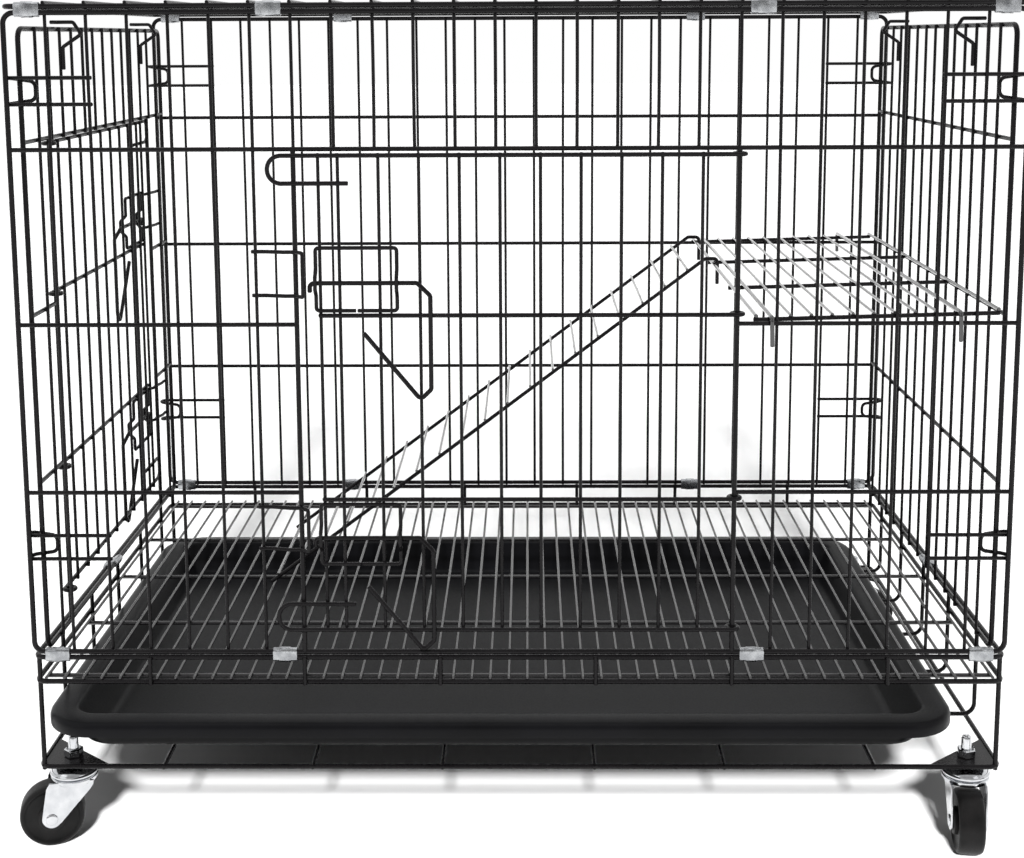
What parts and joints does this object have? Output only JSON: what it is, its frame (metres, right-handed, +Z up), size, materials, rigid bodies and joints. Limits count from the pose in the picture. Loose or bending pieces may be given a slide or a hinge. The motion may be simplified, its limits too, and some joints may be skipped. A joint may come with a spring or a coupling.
{
  "type": "wire pet cage",
  "caption": "Folding wire pet cage on swivel castors with hinged front and side doors, sliding latches, a wire floor, a pull-out tray, a raised shelf and a ladder.",
  "frame": {"origin": "on the ground under the middle of the cage", "axes": "+X to the right along the long side, +Y to the back, +Z up; the front door faces -Y"},
  "size_m": [0.7946, 0.5136, 0.6621],
  "materials": {
    "black_wire": "gloss black coating",
    "zinc_clip": "bright zinc plate",
    "zinc_castor": "bright zinc plate",
    "castor_wheel": "satin",
    "tray": "satin black"
  },
  "bodies": {
    "cage": {"back_panel": "black_wire", "base_back": "black_wire", "base_front": "black_wire", "base_left": "black_wire", "base_right": "black_wire", "castor_nuts": "zinc_castor", "castor_stem_back_left": "zinc_castor", "castor_stem_back_right": "zinc_castor", "castor_stem_front_left": "zinc_castor", "castor_stem_front_right": "zinc_castor", "clip_left": "zinc_clip", "clip_right": "zinc_clip", "clips_back_high": "zinc_clip", "clips_back_low": "zinc_clip", "clips_front_high": "zinc_clip", "clips_front_low": "zinc_clip", "floor_grid": "black_wire", "front_panel_head": "black_wire", "front_panel_left": "black_wire", "front_panel_right": "black_wire", "front_panel_sill": "black_wire", "left_panel_back": "black_wire", "left_panel_front": "black_wire", "left_panel_head": "black_wire", "left_panel_sill": "black_wire", "right_panel": "black_wire", "stand_back": "black_wire", "stand_braces": "black_wire", "stand_front": "black_wire", "stand_left": "black_wire", "stand_right": "black_wire", "top_panel": "black_wire", "tray_runners": "black_wire"},
    "front_door": {"front_door": "black_wire", "front_door_eyes": "black_wire"},
    "left_door": {"left_door": "black_wire", "left_door_eyes": "black_wire"},
    "front_latch_low": {"front_latch_low": "black_wire"},
    "front_latch_high": {"front_latch_high": "black_wire"},
    "left_latch_low": {"left_latch_low": "black_wire"},
    "left_latch_high": {"left_latch_high": "black_wire"},
    "shelf": {"shelf": "black_wire", "shelf_hooks": "black_wire"},
    "ladder": {"ladder": "black_wire"},
    "tray": {"tray_base": "tray", "tray_sides": "tray", "tray_corners": "tray"},
    "fork_front_left": {"castor_fork_front_left": "zinc_castor", "castor_axle_front_left": "zinc_castor"},
    "wheel_front_left": {"castor_wheel_front_left": "castor_wheel"},
    "fork_front_right": {"castor_fork_front_right": "zinc_castor", "castor_axle_front_right": "zinc_castor"},
    "wheel_front_right": {"castor_wheel_front_right": "castor_wheel"},
    "fork_back_right": {"castor_fork_back_right": "zinc_castor", "castor_axle_back_right": "zinc_castor"},
    "wheel_back_right": {"castor_wheel_back_right": "castor_wheel"},
    "fork_back_left": {"castor_fork_back_left": "zinc_castor", "castor_axle_back_left": "zinc_castor"},
    "wheel_back_left": {"castor_wheel_back_left": "castor_wheel"}
  },
  "joints": [
    {"name": "front_door_hinge", "type": "hinge", "parent": "cage", "child": "front_door", "pos_m": [0.165, -0.23, 0.36], "axis": [0, 0, 1], "range_deg": [0, 150]},
    {"name": "left_door_hinge", "type": "hinge", "parent": "cage", "child": "left_door", "pos_m": [-0.368, -0.15679, 0.36], "axis": [0, 0, 1], "range_deg": [0, 150]},
    {"name": "front_latch_low_slide", "type": "slide", "parent": "front_door", "child": "front_latch_low", "axis": [-1, 0, 0], "range_m": [0, 0.011]},
    {"name": "front_latch_high_slide", "type": "slide", "parent": "front_door", "child": "front_latch_high", "axis": [-1, 0, 0], "range_m": [0, 0.011]},
    {"name": "left_latch_low_slide", "type": "slide", "parent": "left_door", "child": "left_latch_low", "axis": [0, 1, 0], "range_m": [0, 0.011]},
    {"name": "left_latch_high_slide", "type": "slide", "parent": "left_door", "child": "left_latch_high", "axis": [0, 1, 0], "range_m": [0, 0.011]},
    {"name": "tray_slide", "type": "slide", "parent": "cage", "child": "tray", "axis": [0, -1, 0], "range_m": [0, 0.38]},
    {"name": "shelf_lift", "type": "slide", "parent": "cage", "child": "shelf", "axis": [0, 0, 1], "range_m": [0, 0.03]},
    {"name": "ladder_swing", "type": "hinge", "parent": "shelf", "child": "ladder", "pos_m": [0.18, 0.132, 0.42608], "axis": [0, 1, 0], "range_deg": [0, 20]},
    {"name": "swivel_front_left", "type": "hinge", "parent": "cage", "child": "fork_front_left", "pos_m": [-0.354, -0.213, 0.055], "axis": [0, 0, 1], "continuous": true},
    {"name": "roll_front_left", "type": "hinge", "parent": "fork_front_left", "child": "wheel_front_left", "pos_m": [-0.37146, -0.21735, 0.025], "axis": [-0.2419, 0.9703, 0], "continuous": true},
    {"name": "swivel_front_right", "type": "hinge", "parent": "cage", "child": "fork_front_right", "pos_m": [0.354, -0.213, 0.055], "axis": [0, 0, 1], "continuous": true},
    {"name": "roll_front_right", "type": "hinge", "parent": "fork_front_right", "child": "wheel_front_right", "pos_m": [0.35212, -0.2309, 0.025], "axis": [-0.9945, 0.1045, 0], "continuous": true},
    {"name": "swivel_back_right", "type": "hinge", "parent": "cage", "child": "fork_back_right", "pos_m": [0.354, 0.213, 0.055], "axis": [0, 0, 1], "continuous": true},
    {"name": "roll_back_right", "type": "hinge", "parent": "fork_back_right", "child": "wheel_back_right", "pos_m": [0.37146, 0.21735, 0.025], "axis": [0.2419, -0.9703, 0], "continuous": true},
    {"name": "swivel_back_left", "type": "hinge", "parent": "cage", "child": "fork_back_left", "pos_m": [-0.354, 0.213, 0.055], "axis": [0, 0, 1], "continuous": true},
    {"name": "roll_back_left", "type": "hinge", "parent": "fork_back_left", "child": "wheel_back_left", "pos_m": [-0.35212, 0.2309, 0.025], "axis": [0.9945, -0.1045, 0], "continuous": true}
  ]
}
